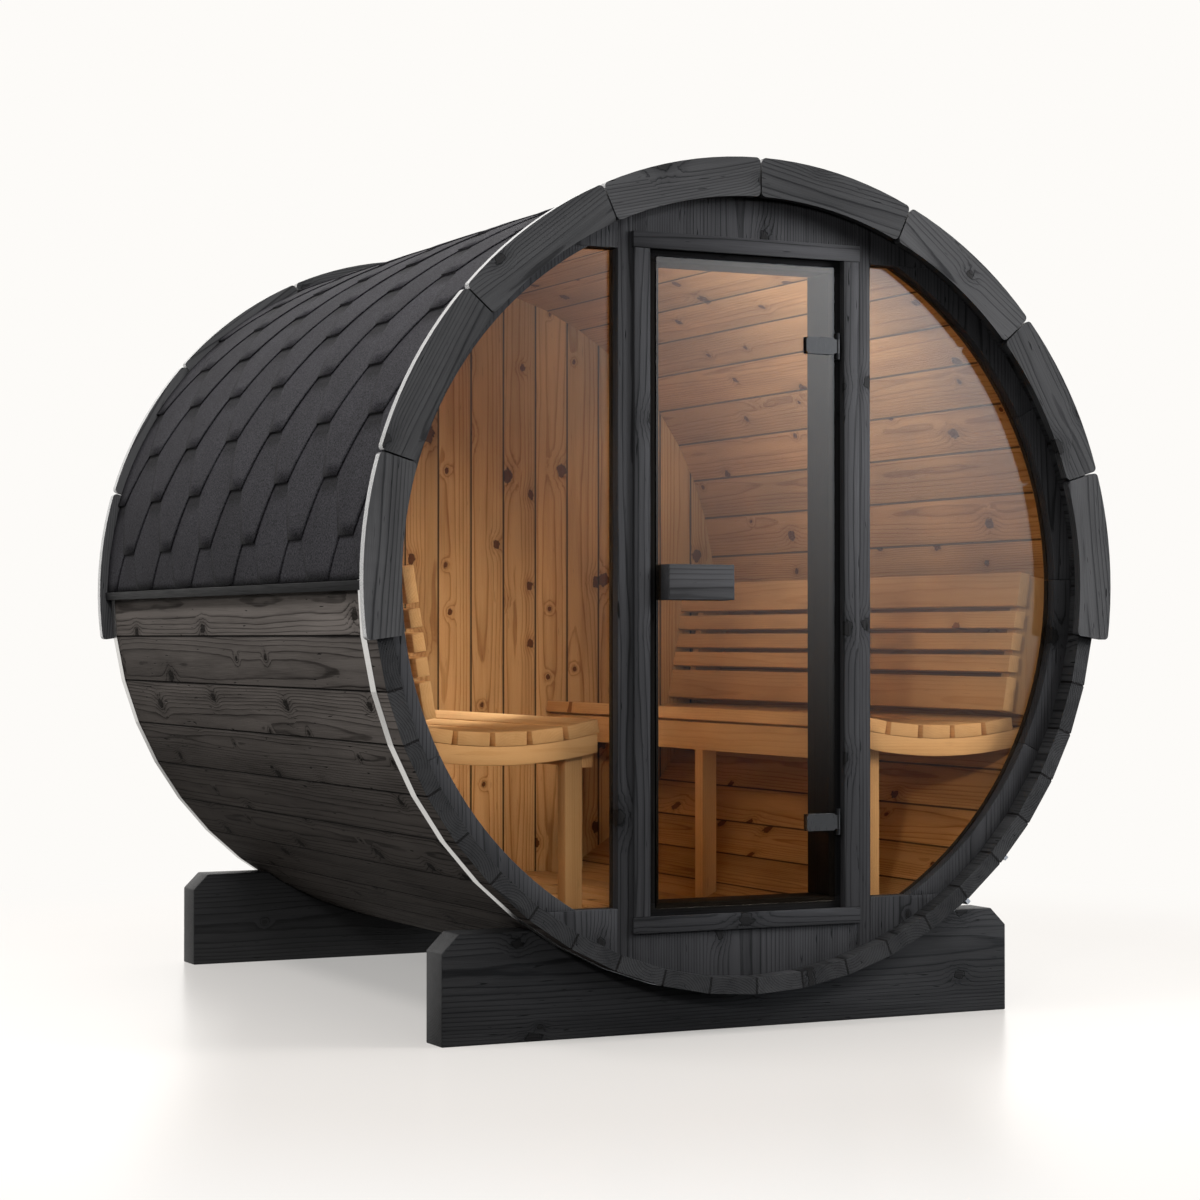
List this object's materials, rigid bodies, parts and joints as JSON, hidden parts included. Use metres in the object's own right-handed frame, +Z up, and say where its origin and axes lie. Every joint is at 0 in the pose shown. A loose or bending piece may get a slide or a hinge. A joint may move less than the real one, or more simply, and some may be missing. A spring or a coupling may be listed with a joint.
{
  "type": "barrel sauna",
  "caption": "Staved wooden barrel cabin on two cradles, glazed front with a hinged glass door, slatted benches inside and a shingled upper half.",
  "frame": {"origin": "on the ground under the middle of the barrel", "axes": "+X to the right seen from the front, +Y from the door to the rear wall, +Z up"},
  "size_m": [2.174, 2.265, 2.237],
  "materials": {
    "stained_wood": "charcoal stain, satin",
    "staved_shell": "charcoal stain outside, bare wood inside",
    "inside_wood": "bare heat-treated softwood",
    "bench_wood": "bare smooth hardwood",
    "roof_shingles": "mineral granules on bitumen",
    "strap_steel": "bright stainless",
    "hinge_steel": "satin",
    "hinge_black": "black satin",
    "tinted_glass": "bronze tinted, polished"
  },
  "bodies": {
    "sauna": {"backrest_left_slats": "bench_wood", "backrest_ribs": "bench_wood", "backrest_right_slats": "bench_wood", "bench_aprons": "bench_wood", "bench_left_slats": "bench_wood", "bench_legs": "bench_wood", "bench_rails": "bench_wood", "bench_right_slats": "bench_wood", "door_lining": "stained_wood", "door_trim": "stained_wood", "eave_battens": "stained_wood", "floor_bearers": "inside_wood", "floor_boards": "inside_wood", "front_cradle": "stained_wood", "front_edge_boards": "stained_wood", "front_post_left": "stained_wood", "front_post_right": "stained_wood", "front_strap": "strap_steel", "front_wall_bottom": "stained_wood", "front_wall_top": "stained_wood", "front_window_arch_left": "stained_wood", "front_window_arch_right": "stained_wood", "hinge_jamb_leaves": "hinge_black", "rear_cradle": "stained_wood", "rear_edge_boards": "stained_wood", "rear_strap": "strap_steel", "rear_wall_boards": "inside_wood", "roof_ridge_shingles": "roof_shingles", "roof_shingles_left": "roof_shingles", "roof_shingles_right": "roof_shingles", "staves_bottom_left": "staved_shell", "staves_bottom_right": "staved_shell", "staves_left_lower": "staved_shell", "staves_left_upper": "staved_shell", "staves_right_lower": "staved_shell", "staves_right_upper": "staved_shell", "staves_top_left": "staved_shell", "staves_top_right": "staved_shell", "strap_tensioners": "strap_steel", "window_glass_left": "tinted_glass", "window_glass_right": "tinted_glass"},
    "door": {"door_glass": "tinted_glass", "door_handle_inner": "stained_wood", "door_handle_outer": "stained_wood", "door_hinge_backplates": "hinge_black", "door_hinge_covers": "hinge_steel"}
  },
  "joints": [
    {"name": "door_hinge", "type": "hinge", "parent": "sauna", "child": "door", "pos_m": [0.27, -1.0585, 1.15], "axis": [0, 0, 1], "range_deg": [0, 100]}
  ]
}
